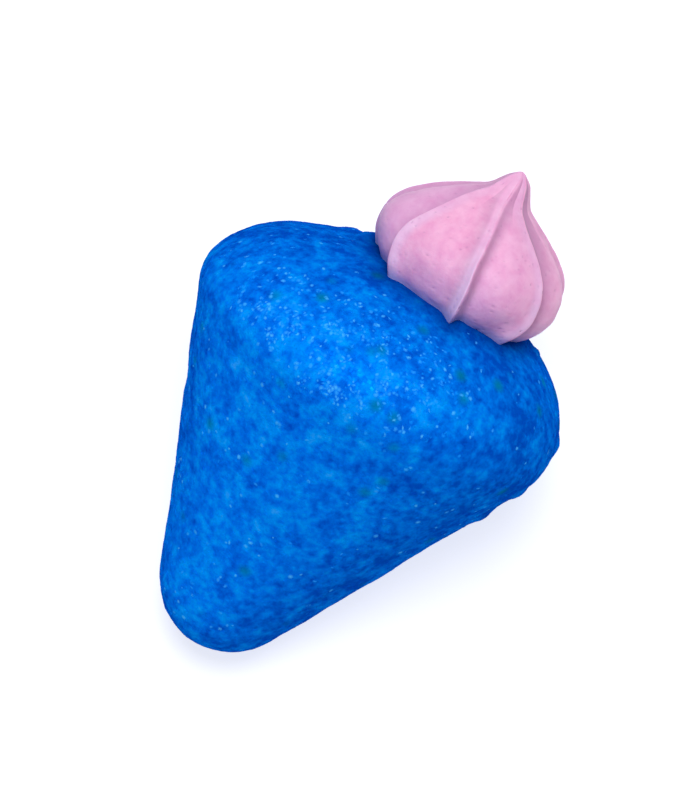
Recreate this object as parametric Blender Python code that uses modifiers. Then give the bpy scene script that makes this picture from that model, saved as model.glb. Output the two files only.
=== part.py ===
"""A blue sugared foam marshmallow, shaped like a strawberry, with a pink piped foam top.

Two pieces are modelled, each one closed solid:

    marshmallow_body   a turned cone with a round nose and a domed crown
    piped_top          a seven-crested rosette of foam, piped onto the crown

Both are drawn upright first, with Z as the axis of the cone, zero height where the
straight flanks would meet below the nose, -Y as the side that faces the viewer and +X as
the viewer's right.  An empty then lays them down: the cone rests on its flank, which is
pressed to a small flat strip, and the crown points to +X and rises from the surface.

Units are metres and radians.  The origin is at the middle of the footprint, on the surface.
"""

import math

import bpy
from mathutils import Vector, noise

# ---------------------------------------------------------------- driving dimensions

MM = 0.001
QUARTER_TURN = math.pi / 2

# The body, a solid of revolution
NOSE_RADIUS = 7.3 * MM
FLANK_ANGLE = math.radians(24.9)   # between the axis and the straight flank
BODY_RADIUS = 20.1 * MM
SHOULDER_RADIUS = 4.0 * MM          # the turn from the flank into the widest place
CROWN_HEIGHT = 11.2 * MM            # the dome above the widest place
CROWN_LEAN = 0.8 * MM               # the dome is this much higher on the right
LEAN_REACH = 11 * MM                # how far from the axis the lean is complete
LEAN_BLEND = 8 * MM                 # the height over which the lean sets in

# The soft unevenness that the foam takes from its mould of starch
LUMP_HEIGHT = 0.16 * MM
LUMP_WIDTH = 6.5 * MM
DIMPLE_HEIGHT = 0.10 * MM
DIMPLE_WIDTH = 3.2 * MM
DIMPLE_PLACE = Vector((7.3, 1.9, 4.1))      # where in the noise the dimples are read

# The piped top: (height above the crown, radius) from its tip down to inside the crown
TOP_OUTLINE = (
    (13.6 * MM, 0.0),
    (13.2 * MM, 0.75 * MM),
    (11.5 * MM, 1.9 * MM),
    (9.0 * MM, 4.8 * MM),
    (7.0 * MM, 7.7 * MM),
    (4.8 * MM, 9.4 * MM),
    (2.2 * MM, 10.0 * MM),
    (0.0 * MM, 9.6 * MM),
    (-1.4 * MM, 8.8 * MM),
    (-3.4 * MM, 7.6 * MM),
    (-5.4 * MM, 4.0 * MM),
    (-5.8 * MM, 0.0),
)
TOP_OFFSET_RIGHT = 2.26 * MM        # from the body's axis to the rosette's
TIP_LEAN = 0.5 * MM                 # the tip was pulled this far to the left
TIP_LEAN_START = 6.0 * MM           # the height above the crown where that begins

# Its crests, left by the teeth of the nozzle.  The first stands to the left of the viewer's
# side, and the others follow to the right of it.
CREST_COUNT = 7
CREST_START = math.radians(-38.5)   # azimuth of the first crest, 0 facing the viewer
CREST_SHIFTS = (0, 0, 0, 3, -2, 3, -9)      # degrees, how far each stands from even spacing
CREST_TWIST = math.radians(-14)     # turn of the crests from bottom to tip
CREST_HEIGHT = 1.25 * MM
CREST_WIDTH = 0.5 * MM              # half the width, where the crest has thinned to a third
CREST_ROUNDING = 0.15 * MM          # softens its edge
VALLEY_DEPTH = 1.0 * MM             # how far the foam dips beside a crest
NECK_RADIUS = 4.0 * MM              # below this radius, crests and valleys shrink to the tip
FOOT_HEIGHT = -1.4 * MM             # against the crown, where the foot is most uneven
FOOT_BLEND = 5.0 * MM               # the height over which its unevenness fades out
CREST_TOES = (0.3, 0.9, -0.4, 0.2, 0.3, 0.1, -0.2)        # mm, how far each foot stands out
PANEL_SWELLS = (0.0, -0.5, 0.1, -0.3, 0.2, -0.1, -0.6)    # mm, of the foam between two feet

# How the two lie and meet
FLAT_DEPTH = 0.35 * MM              # how far the flank is pressed flat
FACE_ROLL = math.radians(8.0)       # the viewer's side is rolled this far from straight up
JOINT_GAP = 0.3 * MM                # between the crown and the piped top
FLOOR_SIZE = 120 * MM               # the block that presses the flank flat

# How finely the surfaces are divided
BODY_STEPS = 64
BODY_SPACING = 1.6 * MM
PANEL_STEPS = 11                    # columns between one crest and the next
TOP_SPACING = 0.9 * MM
CREST_GATHER = 1.8                  # draws the columns together at the crests
ROUNDING_SLACK = 0.0001             # keeps a column that lies on a crest in its own panel
WELD_DISTANCE = 0.01 * MM           # closer together than this, or to the axis, is one point

# ---------------------------------------------------------------- derived dimensions

RIM_HEIGHT = (BODY_RADIUS * math.cos(FLANK_ANGLE)
              + SHOULDER_RADIUS * (1 - math.cos(FLANK_ANGLE))) / math.sin(FLANK_ANGLE)
NOSE_CENTRE = NOSE_RADIUS / math.sin(FLANK_ANGLE)
CROWN_TOP = RIM_HEIGHT + CROWN_HEIGHT
CREST_STEP = math.tau / CREST_COUNT


# ---------------------------------------------------------------- small helpers

def smooth_rise(value, start, length):
    """Rise smoothly from 0 at start to 1 at start + length."""
    t = min(max((value - start) / length, 0.0), 1.0)
    return t * t * (3 - 2 * t)


def evenly_spaced(points, spacing):
    """Walk along a fine outline and return points that are about spacing apart."""
    lengths = [0.0]
    for before, after in zip(points, points[1:]):
        lengths.append(lengths[-1] + (after - before).length)
    count = max(2, round(lengths[-1] / spacing))
    result = []
    index = 0
    for step in range(count + 1):
        target = lengths[-1] * step / count
        while index < len(points) - 2 and lengths[index + 1] < target:
            index += 1
        share = (target - lengths[index]) / (lengths[index + 1] - lengths[index])
        result.append(points[index].lerp(points[index + 1], min(share, 1.0)))
    return result


def arc(centre_radius, centre_height, across, along, start, end, count=40):
    """Points (radius, height) on an ellipse's arc, with angles measured from the radius."""
    angles = [start + (end - start) * step / count for step in range(count + 1)]
    return [Vector((centre_radius + across * math.cos(a), centre_height + along * math.sin(a)))
            for a in angles]


def spline(points, count=12):
    """A smooth curve through all the points, with count steps between each two."""
    padded = [points[0], *points, points[-1]]
    result = [points[0]]
    for p0, p1, p2, p3 in zip(padded, padded[1:], padded[2:], padded[3:]):
        for step in range(1, count + 1):
            t = step / count
            result.append(0.5 * (2 * p1 + (p2 - p0) * t
                                 + (2 * p0 - 5 * p1 + 4 * p2 - p3) * t ** 2
                                 + (3 * p1 - p0 - 3 * p2 + p3) * t ** 3))
    return result


def turned_mesh(name, outline, steps):
    """Turn an outline of (radius, height) points, which runs from top to bottom, about Z."""
    profile = bpy.data.meshes.new(name + "_profile")
    corners = [(point.x, 0.0, point.y) for point in outline]
    profile.from_pydata(corners, [(i, i + 1) for i in range(len(corners) - 1)], [])
    turner = bpy.data.objects.new(name + "_profile", profile)
    bpy.context.scene.collection.objects.link(turner)
    screw = turner.modifiers.new("Turn", "SCREW")
    screw.axis = "Z"
    screw.angle = math.tau
    screw.steps = steps
    screw.render_steps = steps
    screw.use_merge_vertices = True
    screw.merge_threshold = WELD_DISTANCE
    bpy.context.view_layer.update()
    depsgraph = bpy.context.evaluated_depsgraph_get()
    mesh = bpy.data.meshes.new_from_object(turner.evaluated_get(depsgraph))
    mesh.name = name
    bpy.data.objects.remove(turner)
    bpy.data.meshes.remove(profile)
    return mesh


def foam_material(name, colour, roughness):
    """A matt material with one colour, given as linear red, green and blue."""
    material = bpy.data.materials.new(name)
    material.use_nodes = True
    shader = material.node_tree.nodes["Principled BSDF"]
    shader.inputs["Base Color"].default_value = (*colour, 1.0)
    shader.inputs["Roughness"].default_value = roughness
    shader.inputs["Metallic"].default_value = 0.0
    return material


def place(name, mesh, collection, parent=None):
    """Make an object of a mesh in a collection, carried by its parent."""
    obj = bpy.data.objects.new(name, mesh)
    collection.objects.link(obj)
    obj.parent = parent
    return obj


def make_cutter(obj):
    """Show an object as a wire only, because it just cuts others."""
    obj.hide_render = True
    obj.display_type = "WIRE"


def cut(obj, cutter):
    """Take the cutter's space out of an object."""
    boolean = obj.modifiers.new("Cut by " + cutter.name, "BOOLEAN")
    boolean.operation = "DIFFERENCE"
    boolean.solver = "EXACT"
    boolean.object = cutter


# ---------------------------------------------------------------- the body

def body_outline(grow):
    """Crown, shoulder, flank and nose, from top to bottom, moved outwards by grow."""
    crown = arc(0.0, RIM_HEIGHT, BODY_RADIUS + grow, CROWN_HEIGHT + grow, QUARTER_TURN, 0.0)
    shoulder = arc(BODY_RADIUS - SHOULDER_RADIUS, RIM_HEIGHT, SHOULDER_RADIUS + grow,
                   SHOULDER_RADIUS + grow, 0.0, -FLANK_ANGLE)
    nose = arc(0.0, NOSE_CENTRE, NOSE_RADIUS + grow, NOSE_RADIUS + grow,
               -FLANK_ANGLE, -QUARTER_TURN)
    points = crown + shoulder[1:] + nose
    points[0].x = 0.0
    points[-1].x = 0.0
    return evenly_spaced(points, BODY_SPACING)


def lump(point):
    """How far the foam stands out of its turned shape at a point, in metres."""
    broad = noise.noise(point / LUMP_WIDTH)
    fine = noise.noise(point / DIMPLE_WIDTH + DIMPLE_PLACE)
    return LUMP_HEIGHT * broad + DIMPLE_HEIGHT * fine


def crown_lean(point):
    """How much higher the leaning crown is at a point, in metres."""
    across = min(max(point.x / LEAN_REACH, -1.0), 1.0)
    return (CROWN_LEAN * math.sin(across * QUARTER_TURN)
            * smooth_rise(point.z, RIM_HEIGHT - LEAN_BLEND / 2, LEAN_BLEND))


def body_mesh(name, grow=0.0):
    """The whole body, or with grow a slightly larger one that cuts out its room."""
    mesh = turned_mesh(name, body_outline(grow), BODY_STEPS)
    outwards = [normal.vector.copy() for normal in mesh.vertex_normals]
    for vertex, normal in zip(mesh.vertices, outwards):
        smooth = vertex.co.copy()
        vertex.co = smooth + normal * lump(smooth)
        vertex.co.z += crown_lean(smooth)
    mesh.shade_smooth()
    return mesh


# ---------------------------------------------------------------- the piped top

def top_outline():
    """The outline of the piped top without its crests, from its tip to its sunken bottom."""
    points = spline([Vector((radius, height)) for height, radius in TOP_OUTLINE])
    points[0].x = 0.0
    points[-1].x = 0.0
    return evenly_spaced(points, TOP_SPACING)


def crest_azimuth(number):
    """The azimuth of a crest at the bottom, counted on past the last one."""
    shift = math.radians(CREST_SHIFTS[number % CREST_COUNT])
    return CREST_START + number * CREST_STEP + shift


def crested(point):
    """Move a point of the plain turned top onto its crests, panels and valleys."""
    radius = math.hypot(point.x, point.y)
    if radius < WELD_DISTANCE:
        return point
    panel, share = divmod(math.atan2(point.x, -point.y) / CREST_STEP + ROUNDING_SLACK, 1)
    panel = int(panel) % CREST_COUNT

    # The columns gather at the crests, and the crests turn a little on their way up.
    # Inwards is 0 at either crest and 1 in the middle of the panel.
    nearest = panel if share < 0.5 else panel + 1
    inwards = (1 - abs(2 * share - 1)) ** CREST_GATHER
    share = inwards / 2 if nearest == panel else 1 - inwards / 2
    width = crest_azimuth(panel + 1) - crest_azimuth(panel)
    climb = (point.z - TOP_OUTLINE[-1][0]) / (TOP_OUTLINE[0][0] - TOP_OUTLINE[-1][0])
    azimuth = crest_azimuth(panel) + share * width + CREST_TWIST * climb

    # The section: a panel that swells between two crests, each with its own toe
    fade = min(radius / NECK_RADIUS, 1.0)
    foot = 1 - smooth_rise(point.z, FOOT_HEIGHT, FOOT_BLEND)
    toe = CREST_TOES[nearest % CREST_COUNT] * MM * foot
    swell = PANEL_SWELLS[panel] * MM * foot * math.sin(math.pi * share)
    valley = VALLEY_DEPTH * (1 - inwards) ** 2
    from_crest = math.hypot(radius * width * inwards / 2, CREST_ROUNDING) - CREST_ROUNDING
    crest = (CREST_HEIGHT + toe) * math.exp(-from_crest / (CREST_WIDTH * fade))
    radius += fade * (crest - valley + swell)
    return Vector((radius * math.sin(azimuth), -radius * math.cos(azimuth), point.z))


def top_mesh(name):
    """The piped top, still with a plain bottom that reaches down into the crown."""
    mesh = turned_mesh(name, top_outline(), CREST_COUNT * PANEL_STEPS)
    for vertex in mesh.vertices:
        point = crested(vertex.co.copy())
        point.x += TOP_OFFSET_RIGHT
        point.x -= TIP_LEAN * smooth_rise(point.z, TIP_LEAN_START,
                                          TOP_OUTLINE[0][0] - TIP_LEAN_START)
        point.z += CROWN_TOP
        vertex.co = point
    mesh.shade_smooth()
    return mesh


# ---------------------------------------------------------------- the assembly

def lying_pose():
    """An empty that tips the upright axis over until the flank lies along the surface."""
    pose = bpy.data.objects.new("lying_pose", None)
    bpy.context.scene.collection.objects.link(pose)
    pose.rotation_mode = "ZYX"
    pose.rotation_euler = (0.0, QUARTER_TURN - FLANK_ANGLE, FACE_ROLL - QUARTER_TURN)
    pose.location.z = -FLAT_DEPTH
    return pose


def floor_cutter(collection):
    """A block whose upper face is the surface that presses the flank flat."""
    bpy.ops.mesh.primitive_cube_add(size=FLOOR_SIZE, location=(0.0, 0.0, -FLOOR_SIZE / 2))
    block = bpy.context.object
    block.name = "floor_cutter"
    for owner in list(block.users_collection):
        owner.objects.unlink(block)
    collection.objects.link(block)
    make_cutter(block)
    return block


def centre_footprint(pose, pieces):
    """Slide the whole along the surface until its box is centred on the origin."""
    bpy.context.view_layer.update()
    depsgraph = bpy.context.evaluated_depsgraph_get()
    corners = []
    for piece in pieces:
        solid = piece.evaluated_get(depsgraph)
        corners += [piece.matrix_world @ vertex.co for vertex in solid.data.vertices]
    for axis in (0, 1):
        values = [corner[axis] for corner in corners]
        pose.location[axis] -= (min(values) + max(values)) / 2
    bpy.context.view_layer.update()


def main():
    for leftover in list(bpy.data.objects):
        bpy.data.objects.remove(leftover)
    pieces = bpy.data.collections.new("marshmallow")
    cutters = bpy.data.collections.new("cutters")
    for collection in (pieces, cutters):
        bpy.context.scene.collection.children.link(collection)

    pose = lying_pose()
    body = place("marshmallow_body", body_mesh("marshmallow_body"), pieces, pose)
    top = place("piped_top", top_mesh("piped_top"), pieces, pose)
    body.data.materials.append(foam_material("blue sugar coat", (0.003, 0.150, 0.672), 0.75))
    top.data.materials.append(foam_material("pink piped foam", (0.745, 0.386, 0.638), 0.6))

    room = place("crown_cutter", body_mesh("crown_cutter", JOINT_GAP), cutters, pose)
    make_cutter(room)
    cut(body, floor_cutter(cutters))
    cut(top, room)
    centre_footprint(pose, (body, top))


main()
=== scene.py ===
# %% [markdown]
# # A blue sugared marshmallow with a piped pink top
#
# The sweet is a fat cone of foam, rolled in fine blue sugar, with a rosette of pink foam piped
# onto its round crown.  It lies on its flank.  The solids that we load are plain and coarse:
# they hold the true size and place of both pieces.  This lesson dresses them, in this order:
# camera and light, the pink rosette, the foam under the sugar, and the sugar, grain by grain.

# %% Load the solids
import math

import bpy
from mathutils import Matrix, Vector


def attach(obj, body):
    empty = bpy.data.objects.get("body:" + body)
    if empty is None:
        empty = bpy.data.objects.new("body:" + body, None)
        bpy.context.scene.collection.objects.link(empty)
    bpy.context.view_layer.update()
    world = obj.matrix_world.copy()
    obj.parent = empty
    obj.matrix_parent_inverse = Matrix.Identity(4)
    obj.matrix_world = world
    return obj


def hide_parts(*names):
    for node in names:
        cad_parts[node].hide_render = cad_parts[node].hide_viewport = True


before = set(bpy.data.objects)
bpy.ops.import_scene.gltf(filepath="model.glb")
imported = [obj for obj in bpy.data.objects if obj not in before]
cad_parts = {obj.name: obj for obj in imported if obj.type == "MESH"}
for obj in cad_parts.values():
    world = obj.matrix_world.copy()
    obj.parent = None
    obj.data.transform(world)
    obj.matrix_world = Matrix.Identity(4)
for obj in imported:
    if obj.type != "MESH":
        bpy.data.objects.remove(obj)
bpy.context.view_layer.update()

MM = 0.001

# %% [markdown]
# ## Camera
#
# The sweet is seen from almost straight above, so the camera looks down at it.  Two angles
# give the direction, one named point gives the aim, and a long lens keeps the outline free of
# the swelling that a close lens would give.  The picture is higher than it is wide, so the
# sensor's 36 mm belong to its height.

# %% Camera
VIEW_AZIMUTH = math.radians(-53.9)
VIEW_ELEVATION = math.radians(76.75)
VIEW_DISTANCE = 2.0
VIEW_AIM = Vector((0.03, 0.77, 16.0)) * MM
PICTURE_HEIGHT = 80 * MM  # what the picture's height takes in, at the aim
SENSOR = 36.0             # millimetres

to_viewer = Vector((math.sin(VIEW_AZIMUTH) * math.cos(VIEW_ELEVATION),
                    -math.cos(VIEW_AZIMUTH) * math.cos(VIEW_ELEVATION),
                    math.sin(VIEW_ELEVATION)))
to_right = Vector((math.cos(VIEW_AZIMUTH), math.sin(VIEW_AZIMUTH), 0.0))
to_top = to_viewer.cross(to_right)

scene = bpy.context.scene
camera = bpy.data.objects.new("camera", bpy.data.cameras.new("camera"))
camera.data.sensor_width = SENSOR
camera.data.lens = SENSOR * VIEW_DISTANCE / PICTURE_HEIGHT
camera.data.clip_start = 0.01
camera.data.clip_end = 10.0
camera.matrix_world = (Matrix.Translation(VIEW_AIM + to_viewer * VIEW_DISTANCE)
                       @ Matrix((to_right, to_top, to_viewer)).transposed().to_4x4())
scene.collection.objects.link(camera)
scene.camera = camera
print("camera lens", round(camera.data.lens), "mm")

# %% [markdown]
# ## Helpers for nodes and colours
#
# Materials and geometry are both made of nodes here.  Each node, setting and link could have a
# line of its own, but then one formula takes a page.  So one helper adds a node with its
# settings and fills its inputs, with plain values or with links from other nodes.  The kinds
# of node that come up often get a short name.  Colours are written as they look on a screen,
# and one function turns them into the linear values that light is reckoned in.

# %% Helpers
MATH, VECTOR, RANGE = "ShaderNodeMath", "ShaderNodeVectorMath", "ShaderNodeMapRange"
NOISE, MIX, MARK = "ShaderNodeTexNoise", "ShaderNodeMixRGB", "ShaderNodeAttribute"
STORE, MOVE = "GeometryNodeStoreNamedAttribute", "GeometryNodeSetPosition"
SMOOTH = {"interpolation_type": "SMOOTHSTEP"}  # for a range with soft ends
PER_POINT = {"data_type": "FLOAT", "domain": "POINT"}  # for a stored mark
NODE_STEP = 180  # from node to node in the editor


def fill(tree, node, inputs):
    """Fill a node's inputs, in order or by name, with values, sockets or nodes."""
    for key, value in (inputs.items() if isinstance(inputs, dict) else enumerate(inputs)):
        if isinstance(value, bpy.types.Node):
            value = next(out for out in value.outputs if out.enabled)
        if isinstance(value, bpy.types.NodeSocket):
            tree.links.new(value, node.inputs[key])
        else:
            node.inputs[key].default_value = value
    return node


def add(tree, kind, inputs=(), **settings):
    """Add a node, with its settings and whatever its inputs get."""
    node = tree.nodes.new(kind)
    node.location.x = NODE_STEP * len(tree.nodes)
    for name, value in settings.items():
        setattr(node, name, value)
    return fill(tree, node, inputs)


def colour(hexadecimal):
    """Linear red, green, blue and alpha of a screen colour such as #0A6CD6."""
    parts = [int(hexadecimal[i:i + 2], 16) / 255 for i in (1, 3, 5)]
    linear = [c / 12.92 if c <= 0.04045 else ((c + 0.055) / 1.055) ** 2.4 for c in parts]
    return (*linear, 1.0)


def new_material(name):
    """A material with one Principled shader; returns the material, its tree and the shader."""
    material = bpy.data.materials.new(name)
    material.use_nodes = True
    tree = material.node_tree
    return material, tree, tree.nodes["Principled BSDF"]


print("screen grey #808080 is", round(colour("#808080")[0], 3), "of the light of white")

# %% [markdown]
# ## Floor and light
#
# A sweet for a catalogue is often photographed on a light table: a sheet of opal acrylic with
# lamps behind it, which glows so evenly that shadows on it nearly vanish.  White card would
# leave a grey shadow, so a plane that glows is the better floor.  The key light is a wide sun
# lamp: it stands a little above the viewer's head and is as large as a big softbox, so the
# sweet's own shadows stay soft.  A pale sky fills them.

# %% Floor and light
LIGHT_SIDE = 0.05     # to the right of the viewer
LIGHT_RISE = 0.34     # above the viewer
LIGHT_TOWARDS = 0.90  # to the viewer
LIGHT_WIDTH = math.radians(30)
LIGHT_STRENGTH = 3.1
SKY_STRENGTH = 0.12
FLOOR_SIZE = 6.0
FLOOR_GLOW = 0.80  # of full white; more would light the sweet from below

# Cast opal acrylic, lit from behind: even and matt, so the key light hardly shows on it
opal, tree, shader = new_material("opal acrylic of a light table")
fill(tree, shader, {"Base Color": colour("#A0A2A6"), "Roughness": 0.9,
                    "Specular IOR Level": 0.1, "Emission Color": colour("#F8FAFF"),
                    "Emission Strength": FLOOR_GLOW})
bpy.ops.mesh.primitive_plane_add(size=FLOOR_SIZE)
floor = bpy.context.object
floor.name = "studio_floor"
floor.data.materials.append(opal)

sun = bpy.data.objects.new("softbox", bpy.data.lights.new("softbox", "SUN"))
sun.data.angle = LIGHT_WIDTH
sun.data.energy = LIGHT_STRENGTH
to_light = to_right * LIGHT_SIDE + to_top * LIGHT_RISE + to_viewer * LIGHT_TOWARDS
sun.rotation_mode = "QUATERNION"
sun.rotation_quaternion = to_light.to_track_quat("Z", "Y")
scene.collection.objects.link(sun)

scene.world = bpy.data.worlds.new("pale sky")
scene.world.use_nodes = True
sky = scene.world.node_tree.nodes["Background"]
fill(scene.world.node_tree, sky, {"Color": colour("#F2F6FF"), "Strength": SKY_STRENGTH})
scene.view_settings.view_transform = "Standard"
print("the light comes from", [round(v, 2) for v in to_light])

# %% [markdown]
# ## Where the upright sweet went
#
# The shapes are easiest to think of upright: the cone's axis is Z, zero height is the point
# where its flanks would meet, -Y faces the viewer.  The solids are that sweet laid down.  So
# we need the one matrix that lays it down.  The turn is known.  The shift comes from the
# solids: the tip of the rosette is their farthest point along the axis.

# %% The lying pose
FLANK_ANGLE = math.radians(24.9)
FACE_ROLL = math.radians(8.0)
BODY_RADIUS = 20.1 * MM
SHOULDER_RADIUS = 4.0 * MM
CROWN_HEIGHT = 11.2 * MM
TIP_HEIGHT = 13.6 * MM        # of the rosette above the crown
TOP_OFFSET_RIGHT = 2.26 * MM  # from the body's axis to the rosette's
TIP_LEAN = 0.5 * MM
RIM_HEIGHT = (BODY_RADIUS * math.cos(FLANK_ANGLE)
              + SHOULDER_RADIUS * (1 - math.cos(FLANK_ANGLE))) / math.sin(FLANK_ANGLE)
CROWN_TOP = RIM_HEIGHT + CROWN_HEIGHT

turn = (Matrix.Rotation(math.pi / 2 - FLANK_ANGLE, 3, "Y")
        @ Matrix.Rotation(FACE_ROLL - math.pi / 2, 3, "Z"))
tip_upright = Vector((TOP_OFFSET_RIGHT - TIP_LEAN, 0.0, CROWN_TOP + TIP_HEIGHT))
axis = turn @ Vector((0.0, 0.0, 1.0))
tip_lying = max((v.co.copy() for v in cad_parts["piped_top"].data.vertices), key=axis.dot)
lay_down = Matrix.Translation(tip_lying - turn @ tip_upright) @ turn.to_4x4()
stand_up = lay_down.inverted()
print("upright zero lies at", [round(v / MM, 2) for v in lay_down.translation], "mm")

# %% [markdown]
# ## Running a geometry tree
#
# What repeats or follows a rule is made by Geometry Nodes.  Each tree is built in the script,
# with named inputs for its sizes.  One function starts a tree, one ends it with Realize
# Instances and Set Material, and one runs it and keeps the result as a plain mesh.

# %% Trees
SOCKETS = {float: "NodeSocketFloat", int: "NodeSocketInt", bpy.types.Object: "NodeSocketObject"}


def new_tree(name, sizes):
    """A geometry tree with one named input for each size; returns it and its inputs."""
    tree = bpy.data.node_groups.new(name, "GeometryNodeTree")
    tree.interface.new_socket("Geometry", in_out="INPUT", socket_type="NodeSocketGeometry")
    for label, value in sizes.items():
        kind = SOCKETS.get(type(value), "NodeSocketMaterial")
        tree.interface.new_socket(label, in_out="INPUT", socket_type=kind)
    tree.interface.new_socket("Geometry", in_out="OUTPUT", socket_type="NodeSocketGeometry")
    return tree, add(tree, "NodeGroupInput").outputs


def end_tree(tree, geometry, material):
    """End a tree: real faces in place of instances, and one material."""
    real = add(tree, "GeometryNodeRealizeInstances", {"Geometry": geometry})
    painted = add(tree, "GeometryNodeSetMaterial", {"Geometry": real, "Material": material})
    add(tree, "NodeGroupOutput", {"Geometry": painted})


def run_tree(name, start, tree, sizes):
    """Run a tree on a mesh or curve, and return an object that holds the plain result."""
    carrier = bpy.data.objects.new(name + "_carrier", start)
    scene.collection.objects.link(carrier)
    modifier = carrier.modifiers.new(name, "NODES")
    modifier.node_group = tree
    for label, value in sizes.items():
        modifier[tree.interface.items_tree[label].identifier] = value
    graph = bpy.context.evaluated_depsgraph_get()
    mesh = bpy.data.meshes.new_from_object(carrier.evaluated_get(graph))
    mesh.name = name
    bpy.data.objects.remove(carrier)
    piece = bpy.data.objects.new(name, mesh)
    scene.collection.objects.link(piece)
    mesh.calc_loop_triangles()
    print(name, len(mesh.loop_triangles), "triangles")
    return piece


print("a size can be a", ", ".join(kind.__name__ for kind in SOCKETS), "or Material")

# %% [markdown]
# ## The piped rosette
#
# The top was piped through a star nozzle.  Its teeth left seven crests with smooth bulging
# panels between them, and lifting the nozzle drew it up into a small tip.  It could be
# sculpted.  But it follows a rule: an outline turned about an axis, whose radius swells and
# dips with the distance from the nearest crest.  So a grid is bent round the axis by the rule
# that made the solid, in far smaller steps, and each crest gets a few numbers of its own,
# because no two leave a nozzle alike.
#
# First the foam itself.  It is pink, but not evenly: its crests dried pale and carry a painted
# highlight, its folds are deep and get painted shade, its bubbles burst into pores with painted
# shade in them, and its foot has a lilac tint with painted shade and blue light, and sugar dust.
# The tree will store where each of these marks lies on the mesh, and the material reads them.

# %% The foam of the rosette
CLOUD_WIDTH = 1.4 * MM    # of the paler and deeper pink in well whipped foam
BUBBLE_WIDTH = 0.35 * MM  # the real ones are finer, and would not show in the render
# Painted highlight on rims; painted shade in folds, pores, feet; painted blue light near the body
FOAM_MARKS = (("foot", 1.0, "#AC96CA"), ("rim", 0.6, "#D8C4E8"), ("fold", 1.0, "#B07AA4"),
              ("pore", 0.42, "#8A5C92"), ("dust", 0.7, "#7692D8"))  # mark, share, colour

# Sugar and egg white, whipped and piped: smooth and matt, and light wanders in it
foam, tree, shader = new_material("piped marshmallow foam")
place = add(tree, "ShaderNodeTexCoord").outputs["Object"]
clouds = add(tree, NOISE, {"Vector": place, "Scale": 1 / CLOUD_WIDTH, "Detail": 4.0,
                           "Roughness": 0.6})
even = add(tree, RANGE, (clouds, 0.3, 0.7))
paint = add(tree, MIX, (even, colour("#EA9DCB"), colour("#F6B9DC")))
for name, share, tone in FOAM_MARKS:
    mark = add(tree, MARK, attribute_name=name).outputs["Fac"]
    strength = add(tree, MATH, (mark, share), operation="MULTIPLY")
    paint = add(tree, MIX, (strength, paint, colour(tone)))
bubbles = add(tree, NOISE, {"Vector": place, "Scale": 1 / BUBBLE_WIDTH})
bump = add(tree, "ShaderNodeBump", {"Height": bubbles, "Strength": 0.5, "Distance": 0.06 * MM})
fill(tree, shader, {"Base Color": paint, "Normal": bump, "Roughness": 0.55,
                    "Specular IOR Level": 0.25, "Subsurface Weight": 0.15,
                    "Subsurface Radius": (1.0, 0.5, 0.6), "Subsurface Scale": 1.2 * MM})
print(foam.name, "reads the marks", [name for name, share, tone in FOAM_MARKS])

# %% The outline of the rosette
# From the tip to the foot, which sinks a little way in: the height above the crown, the radius,
# and how far the section's middle lies to the right of the foot's, all in millimetres
ROSETTE_OUTLINE = ((13.5, 0.0, -0.5), (13.25, 0.45, -0.4), (12.6, 1.1, -0.3),
                   (11.6, 1.7, -0.3), (10.9, 2.1, -0.3), (10.3, 2.65, -0.3),
                   (9.7, 3.65, -0.2), (8.45, 5.7, 0.08), (7.2, 7.45, 0.25), (6.0, 8.75, 0.3),
                   (4.8, 9.65, 0.15), (3.5, 10.12, 0.0), (2.0, 10.3, 0.0),
                   (0.2, 9.9, 0.0), (-1.4, 8.8, 0.0), (-3.4, 7.6, 0.0),
                   (-5.4, 4.0, 0.0), (-5.8, 0.0, 0.0))
STEPS_BETWEEN = 12  # of the curve, from each of these points to the next


def spline(points):
    """A smooth curve through all the points."""
    padded = [points[0], *points, points[-1]]
    result = [points[0]]
    for p0, p1, p2, p3 in zip(padded, padded[1:], padded[2:], padded[3:]):
        for step in range(1, STEPS_BETWEEN + 1):
            t = step / STEPS_BETWEEN
            result.append(0.5 * (2 * p1 + (p2 - p0) * t
                                 + (2 * p0 - 5 * p1 + 4 * p2 - p3) * t ** 2
                                 + (3 * p1 - p0 - 3 * p2 + p3) * t ** 3))
    return result


# In the curve, X holds the radius, Y the sideways shift and Z the height
points = spline([Vector((radius, shift, height)) * MM for height, radius, shift in ROSETTE_OUTLINE])
rosette_curve = bpy.data.curves.new("rosette_outline", "CURVE")
rosette_curve.dimensions = "3D"
line = rosette_curve.splines.new("POLY")
line.points.add(len(points) - 1)
for corner, point in zip(line.points, points):
    corner.co = (max(point.x, 0.0), point.y, point.z, 1.0)
print("outline of", len(points), "points")

# %% [markdown]
# ### The grid, still flat
#
# Each row of the grid is one height on the outline, and its columns go once round the axis.
# Every point looks up the outline, then its panel, and how far in from a crest it lies.  The
# columns crowd towards the crests, where the form turns fastest.  The tree is a long one, so
# it grows over the next cells.

# %% The sizes of the rosette
# The body's solid, stood up, will tell how near the foam is to the sugar
upright_body = bpy.data.objects.new("upright_body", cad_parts["marshmallow_body"].data.copy())
upright_body.data.transform(stand_up)

ROSETTE_SIZES = {
    "Rows": 240,
    "Columns Per Panel": 56,
    "Twist": math.radians(-14),
    "Crest Height": 0.3 * MM,
    "Crest Width": 0.6 * MM,
    "Crest Rounding": 0.25 * MM,
    "Neck Radius": 2.8 * MM,
    "Unevenness": 0.14 * MM,
    "Pore Spacing": 0.5 * MM,
    "Pores": 0.9 / MM ** 2,
    "Pore Width": 0.32 * MM,
    "Pore Depth": 0.16 * MM,
    "Dust Reach": 1.5 * MM,
    "Body": upright_body,
    "Material": foam,
}
tree, given = new_tree("piped rosette", ROSETTE_SIZES)
print(len(ROSETTE_SIZES), "sizes")

# %% The flat grid
CREST_COUNT = 7
CROWDING = 1.8           # above 1, columns crowd towards the crests
ROUNDING_SLACK = 0.0001  # keeps a crest's own column in the panel on its right

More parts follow.
